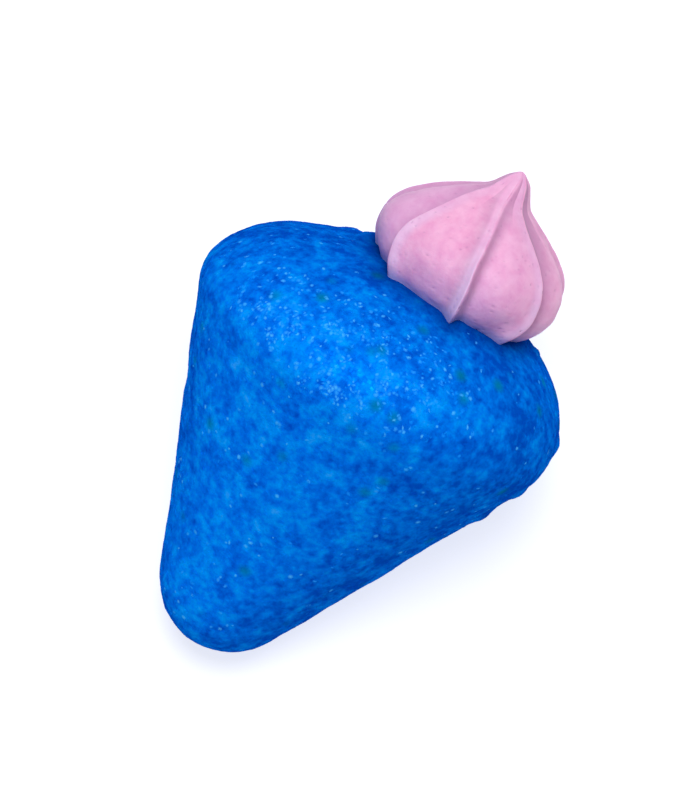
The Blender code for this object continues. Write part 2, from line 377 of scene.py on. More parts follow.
columns = add(tree, MATH, (given["Columns Per Panel"], float(CREST_COUNT), 1.0),
              operation="MULTIPLY_ADD")
grid = add(tree, "GeometryNodeMeshGrid", {"Size X": 1.0, "Size Y": 1.0, "Vertices X": columns,
                                          "Vertices Y": given["Rows"]})
spot = add(tree, "ShaderNodeSeparateXYZ", (add(tree, "GeometryNodeInputPosition"),))
down = add(tree, MATH, (0.5, spot.outputs["Y"]), operation="SUBTRACT")
outline = add(tree, "GeometryNodeSampleCurve", {"Curves": given["Geometry"], "Factor": down},
              mode="FACTOR", use_all_curves=True, data_type="FLOAT")
radius, lean, height = add(tree, "ShaderNodeSeparateXYZ", (outline.outputs["Position"],)).outputs
turns = add(tree, MATH, (spot.outputs["X"], float(CREST_COUNT), CREST_COUNT / 2 + ROUNDING_SLACK),
            operation="MULTIPLY_ADD")
panel = add(tree, MATH, (turns,), operation="FLOOR")
share = add(tree, MATH, (turns,), operation="FRACT")
left = add(tree, MATH, (share, 0.5), operation="GREATER_THAN")  # of the next crest
nearest = add(tree, MATH, (panel, left), operation="ADD")
next_crest = add(tree, MATH, (panel, 1.0), operation="ADD")
even = add(tree, MATH, (share, 0.5), operation="PINGPONG")
double = add(tree, MATH, (even, 2.0), operation="MULTIPLY")
inwards = add(tree, MATH, (double, CROWDING), operation="POWER")  # 0 on a crest, 1 between
half = add(tree, MATH, (inwards, 0.5), operation="MULTIPLY")
apart = add(tree, MATH, (left, half), operation="SUBTRACT")
across = add(tree, MATH, (apart,), operation="ABSOLUTE")  # 0 to 1 over a panel
print("the tree has", len(tree.nodes), "nodes for the flat grid")

# %% [markdown]
# ### Where the crests run
#
# Seven even crests would look machined.  On the real sweet each one stands a little to a side,
# its foot curls, its upper half bends and it turns away again near the tip, as the nozzle
# moved.  Each of these is a small angle that counts only over its own range of heights.

# %% The azimuth
CREST_START = math.radians(-38.5)  # of the first crest, from the side that faces the viewer
EVEN_WIDTH = math.tau / CREST_COUNT
CREST_SHIFTS, CREST_CURLS, CREST_BENDS, CREST_TURNS = (
    [math.radians(degrees) for degrees in crests] for crests in (
        (0, 0.25, -3.5, 3, -2, 3, -9),  # of the whole crest
        (3, -0.5, -9, 0, 4, -3, 0),     # of its foot
        (0, -2.3, 0, 0, 0, 0, 0),       # of its upper half
        (-6, 1.05, -7, 0, 0, 0, 0)))    # near the tip
FOOT_HEIGHT = -1.4 * MM
FOOT_TOP = FOOT_HEIGHT + 5.0 * MM
UPPER_HALF = (3.0 * MM, 6.0 * MM)
NEAR_TIP = (7.0 * MM, 10.9 * MM)


def of_crest(tree, numbers, crest):
    """Pick the number that belongs to a crest, counted round the rosette."""
    counted = add(tree, MATH, (crest, float(CREST_COUNT)), operation="MODULO")
    pick = add(tree, "GeometryNodeIndexSwitch", data_type="FLOAT")
    while len(pick.index_switch_items) < len(numbers):
        pick.index_switch_items.new()
    return fill(tree, pick, (counted, *numbers))


foot = add(tree, RANGE, (height, FOOT_HEIGHT, FOOT_TOP, 1.0, 0.0), **SMOOTH)
upper, tip = (add(tree, RANGE, (height, *band), **SMOOTH) for band in (UPPER_HALF, NEAR_TIP))
shifts = []
for crest in (panel, next_crest):
    shift = of_crest(tree, CREST_SHIFTS, crest)
    for angles, strength in ((CREST_CURLS, foot), (CREST_BENDS, upper), (CREST_TURNS, tip)):
        shift = add(tree, MATH, (of_crest(tree, angles, crest), strength, shift),
                    operation="MULTIPLY_ADD")
    shifts.append(shift)
change = add(tree, MATH, (shifts[1], shifts[0]), operation="SUBTRACT")
width = add(tree, MATH, (change, EVEN_WIDTH), operation="ADD")
start = add(tree, MATH, (shifts[0], CREST_START), operation="ADD")
crest_at = add(tree, MATH, (panel, EVEN_WIDTH, start), operation="MULTIPLY_ADD")
climb = add(tree, RANGE, (height, ROSETTE_OUTLINE[-1][0] * MM, ROSETTE_OUTLINE[0][0] * MM))
turned = add(tree, MATH, (climb, given["Twist"], crest_at), operation="MULTIPLY_ADD")
azimuth = add(tree, MATH, (across, width, turned), operation="MULTIPLY_ADD")
print("the tree has", len(tree.nodes), "nodes with the azimuth")

# %% [markdown]
# ### How the section swells and dips
#
# Each crest falls off steeply on one side and gently on the other, because the foam was laid
# over itself as the nozzle turned.  So each side of a crest has a valley of its own depth.
# The crest stands on it as a ridge that falls off like a cooling curve, rounded at the top.
# Panels swell in their middle, feet spread into toes, and all of it fades out near the tip.

# %% Panels, toes and valleys
VALLEYS_LEFT, VALLEYS_RIGHT, CREST_TOES, CREST_BLUNTS, PANEL_SWELLS, PANEL_DIPS = (
    [millimetres * MM for millimetres in crests] for crests in (
        (2.6, 0.8, 0.3, 1.2, 0.5, 1.4, 0.4),    # how deep it lies to the left of a crest
        (0.2, 2.2, 2.0, 0.4, 1.6, 0.4, 1.6),    # and to its right
        (0.3, 0.8, 0.0, 0.2, 0.3, 0.1, -0.05),  # how far its foot stands out
        (1.2, 0.15, 1.5, 0.8, 0.5, 0.8, 0.8),   # how blunt its foot is
        (0.1, 0.3, 0.05, 0.0, 0.2, 0.0, 0.1),   # how far the panel on its right bulges
        (0.5, 0.95, 0.6, 0.3, 0.0, 0.1, 1.0)))  # and how far that panel's foot draws in
TOE_TOP = FOOT_HEIGHT + 8.0 * MM

low = add(tree, RANGE, (height, FOOT_HEIGHT, TOE_TOP, 1.0, 0.0), **SMOOTH)
toe = add(tree, MATH, (of_crest(tree, CREST_TOES, nearest), low), operation="MULTIPLY")
angle = add(tree, MATH, (across, math.pi), operation="MULTIPLY")
bulge = add(tree, MATH, (angle,), operation="SINE")
drawn_in = add(tree, MATH, (of_crest(tree, PANEL_DIPS, panel), foot), operation="MULTIPLY")
swell = add(tree, MATH, (of_crest(tree, PANEL_SWELLS, panel), drawn_in), operation="SUBTRACT")
swollen = add(tree, MATH, (swell, bulge), operation="MULTIPLY")

valley_left = of_crest(tree, VALLEYS_LEFT, next_crest)
valley_right = of_crest(tree, VALLEYS_RIGHT, panel)
change = add(tree, MATH, (valley_left, valley_right), operation="SUBTRACT")
valley = add(tree, MATH, (left, change, valley_right), operation="MULTIPLY_ADD")
outwards = add(tree, MATH, (1.0, inwards), operation="SUBTRACT")
outwards_2 = add(tree, MATH, (outwards, outwards), operation="MULTIPLY")
dip = add(tree, MATH, (valley, outwards_2), operation="MULTIPLY")
print("the tree has", len(tree.nodes), "nodes with the panels")

# %% The ridge of a crest
panel_width = add(tree, MATH, (radius, width), operation="MULTIPLY")
sideways = add(tree, MATH, (panel_width, half), operation="MULTIPLY")  # in metres
rounding = add(tree, MATH, (foot, of_crest(tree, CREST_BLUNTS, nearest),
                            given["Crest Rounding"]), operation="MULTIPLY_ADD")
rounding_2 = add(tree, MATH, (rounding, rounding), operation="MULTIPLY")
slant_2 = add(tree, MATH, (sideways, sideways, rounding_2), operation="MULTIPLY_ADD")
slant = add(tree, MATH, (slant_2,), operation="SQRT")
from_crest = add(tree, MATH, (slant, rounding), operation="SUBTRACT")
thin = add(tree, MATH, (radius, given["Neck Radius"]), operation="DIVIDE")
fade = add(tree, MATH, (thin, 1.0), operation="MINIMUM")
ridge = add(tree, MATH, (given["Crest Width"], fade), operation="MULTIPLY")
steps = add(tree, MATH, (from_crest, ridge), operation="DIVIDE")
minus = add(tree, MATH, (steps, -1.0), operation="MULTIPLY")
steep = add(tree, MATH, (minus,), operation="EXPONENT")
nearness = add(tree, MATH, (steep, outwards), operation="MULTIPLY")

top = add(tree, MATH, (given["Crest Height"], toe), operation="ADD")
whole = add(tree, MATH, (top, valley), operation="ADD")
level = add(tree, MATH, (swollen, dip), operation="SUBTRACT")
relief = add(tree, MATH, (whole, nearness, level), operation="MULTIPLY_ADD")
full_radius = add(tree, MATH, (fade, relief, radius), operation="MULTIPLY_ADD")
print("the tree has", len(tree.nodes), "nodes with the crests")

# %% [markdown]
# ### Rims, folds and stains, with painted light and shade
#
# A crest dries first, so a pale band runs along its gentle side, fainter towards the tip, with a
# painted highlight in it.  On its steep side the next layer of foam lies in a fold that light
# hardly reaches, and some gentle sides have a soft hollow; both get painted shade, a deeper
# pink.  The feet get painted shade and blue light over a lilac tint, and some whole panels
# painted shade.  Each mark is stored as a number on the mesh for the material to read.

# %% Marks beside the crests
# Rim: paler foam, with a painted highlight
CREST_RIM_HIGHLIGHTS = (0.8, 1.0, 0.7, 0.4, 0.6, 0.4, 0.6)      # how pale each crest's rim is
CREST_FOLD_SHADES = (0.5, 0.6, 0.8, 0.3, 0.4, 0.3, 0.4)     # how deep the painted shade in its fold is
LOW_FOLD_SHADES = (0.7, 0.1, 0.9, 0.3, 0.3, 0.3, 0.3)       # the same at its foot
CREST_HOLLOW_SHADES = (0.0, 0.3, 0.0, 0.0, 0.2, 0.0, 0.1)   # how deep the painted shade in its hollow is
CREST_FOOT_SHADES = (0.1, 0.55, 0.0, 0.1, 0.5, 0.6, 0.4)   # how lilac its foot is, with painted shade and blue light
PANEL_SHADE_TINTS = (0.0, 0.09, 0.03, 0.1, 0.2, 0.1, 0.25)  # how lilac the whole panel is, as painted shade
FOLD_SHADE_REACHES = [reach * MM for reach in (3.2, 1.8, 4.0, 1.8, 1.8, 1.8, 1.8)]
GENTLE_VALLEYS = (0.9 * MM, 1.3 * MM)        # a deeper valley makes a steep side
RIM_FADES = (0.4 * MM, 1.5 * MM)             # across the crest
RIM_PALES = (4.0 * MM, 9.0 * MM, 1.0, 0.35)  # up the crest
FOLD_SHADE_START = 0.35 * MM
HOLLOW_STARTS, HOLLOW_FADES = (0.5 * MM, 0.9 * MM), (0.9 * MM, 2.6 * MM)
FOOT_SHADE_TOP = FOOT_HEIGHT + 9.0 * MM

gentle = add(tree, RANGE, (valley, *GENTLE_VALLEYS, 1.0, 0.0))
sharp = add(tree, MATH, (1.0, gentle), operation="SUBTRACT")
fold_shade_reach = of_crest(tree, FOLD_SHADE_REACHES, nearest)
products = []
for factors in (
        # The rim, pale foam and a painted highlight: beside the crest, on a gentle side, and paler
        # low down
        (add(tree, RANGE, (sideways, *RIM_FADES, 1.0, 0.0), **SMOOTH), gentle,
         add(tree, RANGE, (height, *RIM_PALES)), of_crest(tree, CREST_RIM_HIGHLIGHTS, nearest)),
        # The painted shade in the crease of the fold: a little beside the crest, on a steep side
        (add(tree, RANGE, (sideways, 0.0, FOLD_SHADE_START), **SMOOTH),
         add(tree, RANGE, (sideways, FOLD_SHADE_START, fold_shade_reach, 1.0, 0.0), **SMOOTH), sharp),
        # The painted shade in the hollow: further beside it, on a gentle side
        (add(tree, RANGE, (sideways, *HOLLOW_STARTS), **SMOOTH),
         add(tree, RANGE, (sideways, *HOLLOW_FADES, 1.0, 0.0), **SMOOTH),
         of_crest(tree, CREST_HOLLOW_SHADES, nearest), gentle)):
    product = factors[0]
    for factor in factors[1:]:
        product = add(tree, MATH, (product, factor), operation="MULTIPLY")
    products.append(product)
rim, crease_shade, hollow = products

low = add(tree, RANGE, (height, FOOT_HEIGHT, FOOT_SHADE_TOP, 1.0, 0.0), **SMOOTH)
fold_shade_depth = add(tree, RANGE, (low, 0.0, 1.0, of_crest(tree, CREST_FOLD_SHADES, nearest),
                          of_crest(tree, LOW_FOLD_SHADES, nearest)))
# Painted shade in folds and hollows, a deeper pink
fold = add(tree, MATH, (crease_shade, fold_shade_depth, hollow), operation="MULTIPLY_ADD")
# Painted shade and blue light at the feet, with a lilac tint, and painted shade on some panels
strength = add(tree, RANGE, (across, 0.0, 1.0, of_crest(tree, CREST_FOOT_SHADES, panel),
                             of_crest(tree, CREST_FOOT_SHADES, next_crest)))
foot_shade_tint = add(tree, MATH, (low, strength, of_crest(tree, PANEL_SHADE_TINTS, panel)),
            operation="MULTIPLY_ADD")
mesh = grid.outputs["Mesh"]
for name, value in (("rim", rim), ("fold", fold), ("foot", foot_shade_tint)):
    mesh = add(tree, STORE, {"Geometry": mesh, "Name": name, "Value": value}, **PER_POINT)
print("the tree has", len(tree.nodes), "nodes with the marks")

# %% [markdown]
# ### Round the axis
#
# Sine and cosine bend the flat grid round.  Its first and last column then meet, and its top
# and bottom row shrink to points, so merging points that coincide closes seam and poles.

# %% Bend the grid
SEAM_REACH = 0.002 * MM  # points nearer than this become one

middle = add(tree, MATH, (lean, TOP_OFFSET_RIGHT), operation="ADD")
sine, cosine = (add(tree, MATH, (azimuth,), operation=wave) for wave in ("SINE", "COSINE"))
east = add(tree, MATH, (full_radius, sine, middle), operation="MULTIPLY_ADD")
south = add(tree, MATH, (full_radius, cosine), operation="MULTIPLY")
north = add(tree, MATH, (south, -1.0), operation="MULTIPLY")
up = add(tree, MATH, (height, CROWN_TOP), operation="ADD")
bent = add(tree, MOVE, {"Geometry": mesh,
                        "Position": add(tree, "ShaderNodeCombineXYZ", (east, north, up))})
mesh = add(tree, "GeometryNodeMergeByDistance", {"Geometry": bent, "Distance": SEAM_REACH})
print("the tree has", len(tree.nodes), "nodes when it is round")

# %% [markdown]
# ### Pores, unevenness and sugar dust
#
# Whipped foam has bubbles, and some burst at the surface.  A texture could paint them, but a
# real dent also catches the light.  So points are scattered over the foam, and the surface
# sinks in near each one, by an amount that a noise varies; the dent also gets painted shade.
# A second noise makes the whole surface softly uneven.  Last, each point measures how near it
# is to the blue body, because close to it sugar dust clings to the foam, and there painted
# shade and blue light from the body are added.

# %% Pores
PORE_SEED = 5
PORE_KINDS = 0.5 * MM      # how near two pores can be and still differ in depth
PORE_DEPTHS = (0.35, 0.7)  # of the noise: from no pore to a whole one
UNEVEN_WIDTH = 1.6 * MM

pores = add(tree, "GeometryNodeDistributePointsOnFaces",
            {"Mesh": mesh, "Distance Min": given["Pore Spacing"],
             "Density Max": given["Pores"], "Seed": PORE_SEED}, distribute_method="POISSON")
nearby = add(tree, "GeometryNodeProximity", {"Geometry": pores.outputs["Points"]},
             target_element="POINTS").outputs
half_pore = add(tree, MATH, (given["Pore Width"], 2.0), operation="DIVIDE")
hollow = add(tree, RANGE, (nearby["Distance"], 0.0, half_pore, 1.0, 0.0), **SMOOTH)
kinds = add(tree, NOISE, {"Vector": nearby["Position"], "Scale": 1 / PORE_KINDS, "Detail": 0.0})
size = add(tree, RANGE, (kinds, *PORE_DEPTHS, 0.0, 1.0))
pore = add(tree, MATH, (hollow, size), operation="MULTIPLY")
# The pore mark darkens the dent's colour: painted shade
marked = add(tree, STORE, {"Geometry": mesh, "Name": "pore", "Value": pore}, **PER_POINT)
soft = add(tree, NOISE, {"Vector": add(tree, "GeometryNodeInputPosition"),
                         "Scale": 1 / UNEVEN_WIDTH, "Detail": 3.0, "Roughness": 0.6})
centred = add(tree, MATH, (soft, 0.5), operation="SUBTRACT")
uneven = add(tree, MATH, (centred, given["Unevenness"]), operation="MULTIPLY")
minus = add(tree, MATH, (given["Pore Depth"], -1.0), operation="MULTIPLY")
push = add(tree, MATH, (pore, minus, uneven), operation="MULTIPLY_ADD")
offset = add(tree, VECTOR, {"Vector": add(tree, "GeometryNodeInputNormal"), "Scale": push},
             operation="SCALE")
mesh = add(tree, MOVE, {"Geometry": marked, "Offset": offset})
print("the tree has", len(tree.nodes), "nodes with the pores")

# %% Dust with painted shade and blue light, and the finished rosette
blue = add(tree, "GeometryNodeObjectInfo", {"Object": given["Body"]})
near = add(tree, "GeometryNodeProximity", {"Geometry": blue.outputs["Geometry"]},
           target_element="FACES")
# Sugar dust near the body, and painted shade and blue light from it
dust_and_shade_near_body = add(tree, RANGE, (near.outputs["Distance"], 0.0, given["Dust Reach"], 1.0, 0.0), **SMOOTH)
mesh = add(tree, STORE, {"Geometry": mesh, "Name": "dust", "Value": dust_and_shade_near_body}, **PER_POINT)
end_tree(tree, add(tree, "GeometryNodeSetShadeSmooth", {"Geometry": mesh}), given["Material"])

rosette = run_tree("piped_rosette", rosette_curve, tree, ROSETTE_SIZES)
bpy.data.objects.remove(upright_body)
rosette.data.transform(lay_down)

# %% [markdown]
# ## The dye on the sugar, with painted light and shade
#
# Blue sugar is white sugar tumbled with a little dye, so the blue is never even: some patches
# took more, and a few turned green where yellow starch dust shows through.  Light and shade
# are also painted in: the coat is paler where it faces towards the viewer and a little to the
# left, duller where it looks away, and the corner under the rosette gets a painted contact
# shadow, nearly navy.  Skin and grains must agree about all that, or grains would stand out
# like confetti.  So one function paints the same pattern into each material, from the place of
# a point in the sweet.

# %% The dye pattern, with painted light and shade
DYE_STOPS = ((0.34, "#004FCA"), (0.50, "#0073EE"), (0.66, "#0096FE"), (0.92, "#4CAAFF"))
DYE_GREEN = colour("#02789C")
# Painted contact shadow: the colour of the corner under the rosette
CONTACT_SHADOW_COLOUR = colour("#002E80")
# Painted shade: sides that look away from the painted light's side keep this share of the colour
PAINTED_SHADE_DULL = (1.0, 1.0, 0.88, 1.0)  # what sides that look away from the pale side keep of it
PATCH_WIDTH = 2.6 * MM
MOTTLE_WIDTH = 0.9 * MM
# Painted light: how far the colour shifts along the stops, from facing away to facing its side
PAINTED_LIGHT_SHIFTS = (0.2, 1.0, -0.058, 0.078)
PAINTED_SHADE_FACING = (0.2, 0.9)
GREEN_SPACING = 4.5 * MM
GREEN_WIDTH = 1.1 * MM
GREEN_STRENGTH = 0.8
# The side that painted light and shade lean towards, a little left of the viewer
painted_light_side = (to_right * -0.38 + to_top * 0.03 + to_viewer * 0.92).normalized()


def dyed(tree, lighten):
    """Dye colour at a point, with painted light and shade; lighten, a value or a node, shifts it.
    """
    place = add(tree, "ShaderNodeTexCoord").outputs["Object"]
    patches, mottle = (
        add(tree, NOISE, {"Vector": place, "Scale": 1 / width, "Detail": 2.0, "Roughness": 0.6})
        for width in (PATCH_WIDTH, MOTTLE_WIDTH))
    both = add(tree, MATH, (patches, mottle), operation="ADD")
    # Painted light: paler where the skin faces the painted light's side
    upward = add(tree, MARK, attribute_name="upward").outputs["Fac"]
    pale = add(tree, RANGE, (upward, *PAINTED_LIGHT_SHIFTS))
    shift = add(tree, MATH, (pale, lighten), operation="ADD")
    level = add(tree, MATH, (both, 0.5, shift), operation="MULTIPLY_ADD")
    ramp = add(tree, "ShaderNodeValToRGB", (level,))
    stops = ramp.color_ramp.elements
    for number, (position, tone) in enumerate(DYE_STOPS):
        stop = stops[number] if number < len(stops) else stops.new(position)
        stop.position, stop.color = position, colour(tone)
    spots = add(tree, "ShaderNodeTexVoronoi", {"Vector": place, "Scale": 1 / GREEN_SPACING})
    strength = add(tree, RANGE, (spots.outputs["Distance"], 0.0, GREEN_WIDTH / GREEN_SPACING,
                                 GREEN_STRENGTH, 0.0), **SMOOTH)
    green = add(tree, MIX, (strength, ramp, DYE_GREEN))
    # Painted shade: duller where the skin looks away from that side
    away = add(tree, RANGE, (upward, *PAINTED_SHADE_FACING, 1.0, 0.0))
    dull = add(tree, MIX, (away, green, PAINTED_SHADE_DULL), blend_type="MULTIPLY")
    # Painted contact shadow in the corner under the rosette
    pooled = add(tree, MARK, attribute_name="pooled").outputs["Fac"]
    return add(tree, MIX, (pooled, dull, CONTACT_SHADOW_COLOUR))


print("the dye's palest side looks towards", [round(v, 2) for v in painted_light_side])

# %% [markdown]
# ## The foam under the sugar
#
# The body is moulded foam, wet with blue syrup.  Its solid has flat facets, so we wrap it in an
# even net of small faces with a voxel remesh, relax that net until the facets are gone, and
# then push it in and out a little along its normals, as the starch mould and the rolling left
# it.  Subdividing the solid instead would keep its uneven triangles.

# %% The syrup between the grains
GLAZE_GRIT = 0.25 * MM  # the finest sugar, stuck in the syrup
SYRUP_SHIFT = -0.02     # a little deeper than the grains

# Dyed sugar syrup, dried with sugar dust in it: matt and grainy
syrup, tree, shader = new_material("blue sugar syrup")
place = add(tree, "ShaderNodeTexCoord").outputs["Object"]
grit = add(tree, NOISE, {"Vector": place, "Scale": 1 / GLAZE_GRIT, "Detail": 1.0})
bump = add(tree, "ShaderNodeBump", {"Height": grit, "Strength": 0.35, "Distance": 0.1 * MM})
rough = add(tree, RANGE, {"Value": grit, "To Min": 0.45, "To Max": 0.8})
fill(tree, shader, {"Base Color": dyed(tree, SYRUP_SHIFT), "Normal": bump,
                    "Roughness": rough, "Specular IOR Level": 0.0})
print(syrup.name, "with grit of", GLAZE_GRIT / MM, "mm")

# %% [markdown]
# A few lumps of syrup and sugar stand out on the edge of the real sweet.  They show only
# against the white floor, so they are given as places in the picture, and each is looked up on
# the solid.

# %% Lumps on the edge of the sweet
# Each as millimetres to the right of and above the picture's middle, its height and its reach
LUMP_SPOTS = ((0.9, 16.9, 0.36, 1.9), (2.9, 15.9, 0.70, 2.6), (21.3, -4.4, 0.34, 1.8),
              (18.0, -9.7, 0.3, 1.6), (14.2, -11.6, 0.35, 2.0), (-17.3, 3.4, -0.2, 2.2),
              (19.4, 4.9, 0.3, 1.1))


def on_edge(right, up):
    """The point on the body's solid that lies nearest to a place in the picture."""
    ahead = VIEW_AIM + to_right * right * MM + to_top * up * MM

    def beside(corner):
        away = corner - ahead
        return (away - away.dot(to_viewer) * to_viewer).length

    corners = (v.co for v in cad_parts["marshmallow_body"].data.vertices)
    return min(corners, key=beside).copy()


LUMPS = [(on_edge(right, up), height * MM, reach * MM) for right, up, height, reach in LUMP_SPOTS]
print(len(LUMPS), "lumps")

# %% [markdown]
# ### What the skin knows
#
# The grains that will stand on the skin inherit whatever is stored on it.  So the skin stores
# three marks for them: how much it faces the side of the painted light, how strong the painted
# contact shadow near the rosette is, and how much it faces the light, which sets where clear
# crystals settle and dyed grains turn pale as painted sparkle.

# %% Marks on the skin
SKIN_RELAX = 14  # rounds of smoothing that take the solid's facets away
# Painted contact shadow under the rosette: how strong it is, and how fast it fades
CONTACT_SHADOW_MOST = 0.9  # of the painted shadow's colour, right under the rosette
CONTACT_SHADOW_FALL = 1.6  # above 1, it fades fast at first
# Painted sparkle: clear crystals settle, and dyed grains turn pale, most where the skin faces the
# light
SPARKLE_FACINGS = (0.67, 1.0, 0.06, 1.0)  # from the fewest crystals to the most
SPARKLE_FALL = 1.3
sparkle_light_side = (to_right * -0.10 + to_top * 0.24 + to_viewer * 0.95).normalized()

SKIN_SIZES = {
    "Pucker Height": 0.16 * MM,
    "Pucker Width": 2.4 * MM,
    "Grit Height": 0.07 * MM,
    "Grit Width": 0.7 * MM,
    "Contact Shadow Reach": 3.6 * MM,
    "Rosette": rosette,
    "Material": syrup,
}
tree, given = new_tree("foam skin", SKIN_SIZES)
place = add(tree, "GeometryNodeInputPosition")
normal = add(tree, "GeometryNodeInputNormal")
relaxed = add(tree, "GeometryNodeBlurAttribute", {"Value": place, "Iterations": SKIN_RELAX},
              data_type="FLOAT_VECTOR")
skin = add(tree, MOVE, {"Geometry": given["Geometry"], "Position": relaxed})

# Painted light: how much the skin faces the painted light's side
upward = add(tree, VECTOR, (normal, painted_light_side), operation="DOT_PRODUCT")
pink = add(tree, "GeometryNodeObjectInfo", {"Object": given["Rosette"]})
near = add(tree, "GeometryNodeProximity", {"Geometry": pink.outputs["Geometry"]},
           target_element="FACES")
# Painted contact shadow: strongest right under the rosette, gone at its reach
near_rosette_shadow = add(tree, RANGE, (near.outputs["Distance"], 0.0, given["Contact Shadow Reach"], CONTACT_SHADOW_MOST, 0.0))
pooled = add(tree, MATH, (near_rosette_shadow, CONTACT_SHADOW_FALL), operation="POWER")
# Painted sparkle: how much the skin faces the light
caught = add(tree, VECTOR, (normal, sparkle_light_side), operation="DOT_PRODUCT")
facing = add(tree, RANGE, (caught.outputs["Value"], *SPARKLE_FACINGS))
settled = add(tree, MATH, (facing, SPARKLE_FALL), operation="POWER")
# Fewer clear crystals, and less painted sparkle, in the painted shadow
bare = add(tree, MATH, (1.0, near_rosette_shadow), operation="SUBTRACT")
crystals = add(tree, MATH, (settled, bare), operation="MULTIPLY")
for name, value in (("upward", upward.outputs["Value"]), ("pooled", pooled),
                    ("crystals", crystals)):
    skin = add(tree, STORE, {"Geometry": skin, "Name": name, "Value": value}, **PER_POINT)
print("the skin's tree has", len(tree.nodes), "nodes with its marks")

# %% Relief of the foam
PRESSED_HEIGHT = 0.8 * MM  # below this the flank is pressed flat and stays so

height = 0.0
for middle, rise, reach in LUMPS:
    away = add(tree, VECTOR, (place, middle), operation="DISTANCE")
    lump = add(tree, RANGE, (away.outputs["Value"], 0.0, reach, rise, 0.0), **SMOOTH)
    height = add(tree, MATH, (lump, height), operation="ADD")
for label in ("Pucker", "Grit"):
    scale = add(tree, MATH, (1.0, given[label + " Width"]), operation="DIVIDE")
    noise = add(tree, NOISE, {"Vector": place, "Scale": scale, "Detail": 1.0})
    centred = add(tree, MATH, (noise, 0.5), operation="SUBTRACT")
    height = add(tree, MATH, (centred, given[label + " Height"], height),
                 operation="MULTIPLY_ADD")
above_floor = add(tree, "ShaderNodeSeparateXYZ", (place,)).outputs["Z"]
free = add(tree, RANGE, (above_floor, 0.0, PRESSED_HEIGHT))
push = add(tree, MATH, (height, free), operation="MULTIPLY")
offset = add(tree, VECTOR, {"Vector": normal, "Scale": push}, operation="SCALE")
skin = add(tree, MOVE, {"Geometry": skin, "Offset": offset})
end_tree(tree, add(tree, "GeometryNodeSetShadeSmooth", {"Geometry": skin}), given["Material"])
print("the skin's tree has", len(tree.nodes), "nodes in all")

# %% The net, and the finished skin
WELD_REACH = 0.001 * MM  # closes the solid, whose triangles are loose
SKIN_VOXEL = 0.28 * MM

body_copy = bpy.data.objects.new("body_copy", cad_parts["marshmallow_body"].data.copy())
scene.collection.objects.link(body_copy)
body_copy.modifiers.new("Weld", "WELD").merge_threshold = WELD_REACH
remesh = body_copy.modifiers.new("Net", "REMESH")
remesh.mode = "VOXEL"
remesh.voxel_size = SKIN_VOXEL
graph = bpy.context.evaluated_depsgraph_get()
net = bpy.data.meshes.new_from_object(body_copy.evaluated_get(graph))
net.materials.clear()
bpy.data.objects.remove(body_copy)
body = run_tree("sugared_body", net, tree, SKIN_SIZES)

# %% [markdown]
# ## The sugar, grain by grain
#
# The coat is crystal sugar, a quarter to half a millimetre wide, pressed into the syrup while
# it was wet.  A bump texture would look the same from afar, but the sweet's edge would stay as
# smooth as plastic.  So Geometry Nodes scatter points over the skin, never closer than a
# chosen spacing, and lay a grain on each: turned at random, tilted a little, and so flat that
# only the part that stands out of the syrup is there.  Each grain carries a random number, its
# shade, from which the material tells grain from grain.

# %% Dyed crystals
CLUSTER_WIDTH = 2.8 * MM  # of the patches that paler crystals stuck in
CLUSTER_PALES = (0.42, 0.6, 0.15, 1.0)  # of the noise, and how pale beside and in them
GRAIN_SHIFT = -0.02  # along the dye's stops, of a grain that took its full share
DYE_RARITY = 4.0     # the higher, the fewer grains stayed pale


def dyed_sugar(name, roughness, lightest):
    """Sugar crystals tumbled in dye: small facets, each a slightly different blue; some painted
    sparkle.
    """
    material, tree, shader = new_material(name)
    shade = add(tree, MARK, attribute_name="shade").outputs["Fac"]
    rare = add(tree, MATH, (shade, DYE_RARITY), operation="POWER")
    place = add(tree, "ShaderNodeTexCoord").outputs["Object"]
    clouds = add(tree, NOISE, {"Vector": place, "Scale": 1 / CLUSTER_WIDTH})
    cluster = add(tree, RANGE, (clouds, *CLUSTER_PALES))
    clustered = add(tree, MATH, (rare, cluster), operation="MULTIPLY")
    # Painted sparkle: a few grains turn pale where the skin faces the light
    crystals = add(tree, MARK, attribute_name="crystals").outputs["Fac"]
    caught = add(tree, MATH, (clustered, crystals), operation="MULTIPLY")
    lighten = add(tree, RANGE, (caught, 0.0, 1.0, GRAIN_SHIFT, lightest))
    fill(tree, shader, {"Base Color": dyed(tree, lighten), "Roughness": roughness,
                        "Specular IOR Level": 0.0, "Metallic": 0.1,
                        "Specular Tint": colour("#2A8CFF")})
    return material


print("one dyed crystal in", round(1 / (1 - 0.5 ** (1 / DYE_RARITY))), "is more than half pale")

# %% [markdown]
# Some crystals took hardly any dye.  They are the pale specks that make the coat sparkle, and
# their colour is a painted sparkle: palest in a crystal's middle, it melts into the coat at its
# rim.  A real sparkle comes and goes with the angle, but a still picture shows a pale speck,
# and colour gives one that is the same from every side.

# %% Clear crystals
SPECK_CROWDS = (0.0, 0.6, 1.1, 2.5)  # where many settled, a smaller share of them is bright

# Clear sugar, with a painted sparkle: palest in its middle, the coat's dyed colour at its rim
clear_sugar, tree, shader = new_material("clear sugar crystal")
shade = add(tree, MARK, attribute_name="shade").outputs["Fac"]
crystals = add(tree, MARK, attribute_name="crystals").outputs["Fac"]
rarity = add(tree, RANGE, (crystals, *SPECK_CROWDS))
rare = add(tree, MATH, (shade, rarity), operation="POWER")
# Painted sparkle: a pale colour, strongest in a crystal's middle
pale = add(tree, MIX, (rare, colour("#0A8AFA"), colour("#50BCFF")))
bare = add(tree, MARK, attribute_name="bare").outputs["Fac"]
fill(tree, shader, {"Base Color": add(tree, MIX, (bare, dyed(tree, 0.0), pale)),
                    "Roughness": 0.4, "Specular IOR Level": 0.0})
print(clear_sugar.name, "is made")

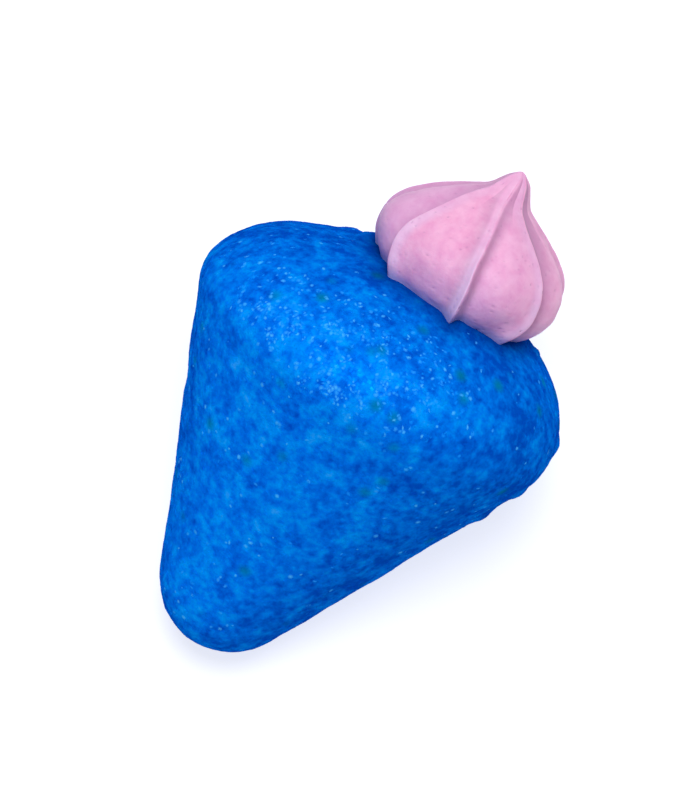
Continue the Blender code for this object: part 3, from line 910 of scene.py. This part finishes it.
# %% [markdown]
# ### Where a grain settles, and its shape
#
# No grain settles where the sweet touches the floor or under the rosette, and the clear ones
# settle in clusters, most where the skin faces the light, for the painted sparkle.  A cube is
# the plain shape of a sugar crystal, and twelve triangles are cheap.  The worn fine grains and
# the clear ones are low balls with a few sides.

# %% One grain
CLUSTER_EDGES = (0.4, 0.6, 0.08, 1.0)  # of the noise, and the least and the full density
BALL_RADIUS = 0.62  # of a grain's width, so that a ball covers like a cube
foot_centre = lay_down @ Vector((TOP_OFFSET_RIGHT, 0.0, CROWN_TOP))  # under the rosette


def settling(tree, given, place):
    """How densely grains settle at a place of the skin, from 0 to 1."""
    above_floor = add(tree, "ShaderNodeSeparateXYZ", (place,)).outputs["Z"]
    above = add(tree, MATH, (above_floor, given["Clear Of Floor"]), operation="GREATER_THAN")
    apart = add(tree, VECTOR, (place, foot_centre), operation="DISTANCE")
    outside = add(tree, MATH, (apart.outputs["Value"], given["Under Rosette"]),
                  operation="GREATER_THAN")
    free = add(tree, MATH, (above, outside), operation="MULTIPLY")
    # Painted sparkle: clear crystals crowd where the skin faces the light
    crystals = add(tree, "GeometryNodeInputNamedAttribute", {"Name": "crystals"},
                   data_type="FLOAT")
    clouds = add(tree, NOISE, {"Vector": place, "Scale": 1 / CLUSTER_WIDTH})
    cloud = add(tree, RANGE, (clouds, *CLUSTER_EDGES))
    settled = add(tree, MATH, (cloud, crystals), operation="MULTIPLY")
    less = add(tree, MATH, (settled, 1.0), operation="SUBTRACT")
    share = add(tree, MATH, (less, given["Clustered"], 1.0), operation="MULTIPLY_ADD")
    return add(tree, MATH, (free, share), operation="MULTIPLY")


def one_grain(tree, given, place, sides):
    """A cube, or a ball with a number of sides that knows how far it is from its middle."""
    if not sides:
        cube_size = add(tree, "ShaderNodeCombineXYZ", (given["Grain"],) * 3)
        return add(tree, "GeometryNodeMeshCube", {"Size": cube_size})
    radius = add(tree, MATH, (given["Grain"], BALL_RADIUS), operation="MULTIPLY")
    ball = add(tree, "GeometryNodeMeshUVSphere",
               {"Segments": sides, "Rings": sides // 2, "Radius": radius})
    flat = add(tree, VECTOR, (place, (1.0, 1.0, 0.0)), operation="MULTIPLY")
    reach = add(tree, VECTOR, (flat,), operation="LENGTH")
    # For the painted sparkle: 1 in the ball's middle, 0 at its rim
    bare = add(tree, RANGE, (reach.outputs["Value"], 0.0, radius, 1.0, 0.0))
    return add(tree, STORE, {"Geometry": ball.outputs["Mesh"], "Name": "bare", "Value": bare},
               **PER_POINT)


print("no grains near", [round(v / MM, 1) for v in foot_centre], "mm")

# %% [markdown]
# ### Scattering the grains
#
# One tree serves all kinds.  Poisson spacing keeps grains from lying in each other.  Every
# random draw has a seed of its own, so the sweet is the same in each run.  After the grains
# are real faces, every corner moves a little on its own, so no two grains are alike.

# %% A tree that scatters grains
SHADE_SEED, SHAPE_SEED, CORNER_SEED = 3, 7, 11
THICKNESSES = (0.05, 0.12)  # of a grain's width: what stands out of the syrup
CUBE_SPREAD, BALL_SPREAD = 0.3, 0.5  # how much grains of a kind differ in width
JITTER = 0.03  # of a grain's width, for its corners
FLOOR_LINE = (-1.0, -1.0, 0.0)  # no corner may lie lower; the first two are out of reach


def sugar_tree(sizes, sides):
    """Scatter grains over a mesh: cubes, or rounded ones with a number of sides."""
    tree, given = new_tree("sugar grains", sizes)
    place = add(tree, "GeometryNodeInputPosition")
    points = add(tree, "GeometryNodeDistributePointsOnFaces",
                 {"Mesh": given["Geometry"], "Distance Min": given["Spacing"],
                  "Density Max": given["Density"], "Seed": given["Seed"],
                  "Density Factor": settling(tree, given, place)}, distribute_method="POISSON")
    tilt = given["Tilt"]
    down = add(tree, MATH, (tilt, -1.0), operation="MULTIPLY")
    angles = add(tree, "FunctionNodeRandomValue",
                 {0: add(tree, "ShaderNodeCombineXYZ", (down, down, 0.0)),
                  1: add(tree, "ShaderNodeCombineXYZ", (tilt, tilt, math.tau)),
                  "Seed": given["Seed"]}, data_type="FLOAT_VECTOR")
    stance = add(tree, "FunctionNodeRotateRotation",
                 (points.outputs["Rotation"], add(tree, "FunctionNodeEulerToRotation", (angles,))),
                 rotation_space="LOCAL")
    spread = BALL_SPREAD if sides else CUBE_SPREAD
    scale = add(tree, "FunctionNodeRandomValue",
                {0: (1.0 - spread, 1.0 - spread, THICKNESSES[0]),
                 1: (1.0 + spread, 1.0 + spread, THICKNESSES[1]),
                 "Seed": SHAPE_SEED}, data_type="FLOAT_VECTOR")
    grains = add(tree, "GeometryNodeInstanceOnPoints",
                 {"Points": points, "Rotation": stance, "Scale": scale,
                  "Instance": one_grain(tree, given, place, sides).outputs[0]})
    shade = add(tree, "FunctionNodeRandomValue", {2: 0.0, 3: 1.0, "Seed": SHADE_SEED},
                data_type="FLOAT")
    marked = add(tree, STORE, {"Geometry": grains, "Name": "shade", "Value": shade},
                 data_type="FLOAT", domain="INSTANCE")
    real = add(tree, "GeometryNodeRealizeInstances", {"Geometry": marked})
    jitter = add(tree, MATH, (given["Grain"], JITTER), operation="MULTIPLY")
    back = add(tree, MATH, (jitter, -1.0), operation="MULTIPLY")
    nudge = add(tree, "FunctionNodeRandomValue",
                {0: add(tree, "ShaderNodeCombineXYZ", (back,) * 3),
                 1: add(tree, "ShaderNodeCombineXYZ", (jitter,) * 3),
                 "Seed": CORNER_SEED}, data_type="FLOAT_VECTOR")
    uneven = add(tree, MOVE, {"Geometry": real, "Offset": nudge})
    lifted = add(tree, VECTOR, (add(tree, "GeometryNodeInputPosition"), FLOOR_LINE),
                 operation="MAXIMUM")
    rested = add(tree, MOVE, {"Geometry": uneven, "Position": lifted})
    flat = add(tree, "GeometryNodeSetShadeSmooth", {"Geometry": rested, "Shade Smooth": False})
    end_tree(tree, flat, given["Material"])
    return tree


print("grains stand out by", THICKNESSES, "of their width")

# %% Scatter the kinds of sugar
# Width and spacing, grains to a square millimetre, tilt, share that clusters, seed, sides
KINDS = {
    "fine_sugar": (0.28 * MM, 0.27 * MM, 11.0, 0.035, 0.0, 1, 4,
                   dyed_sugar("fine dyed sugar", 0.6, 0.08)),
    "coarse_sugar": (0.32 * MM, 0.34 * MM, 5.5, 0.035, 0.0, 2, 0,
                     dyed_sugar("coarse dyed sugar", 0.4, 0.14)),
    "clear_crystals": (0.42 * MM, 0.25 * MM, 16.5, 0.06, 1.0, 3, 6, clear_sugar),
}
sugars = []
for name, (grain, spacing, per_mm2, tilt, clustered, seed, sides, material) in KINDS.items():
    sizes = {
        "Grain": grain,
        "Spacing": spacing,
        "Density": per_mm2 / MM ** 2,
        "Tilt": tilt,
        "Clustered": clustered,
        "Clear Of Floor": 0.12 * MM,
        "Under Rosette": 7.0 * MM,
        "Seed": seed,
        "Material": material,
    }
    sugars.append(run_tree(name, body.data, sugar_tree(sizes, sides), sizes))

# %% [markdown]
# ## The pieces on the sweet's body
#
# Every piece rides on the sweet's one body.  The skin and the rosette stand in for the two
# plain solids, which are then hidden.

# %% Ride and replace
for piece in (body, *sugars):
    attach(piece, "root")
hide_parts("marshmallow_body")
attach(rosette, "root")
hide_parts("piped_top")
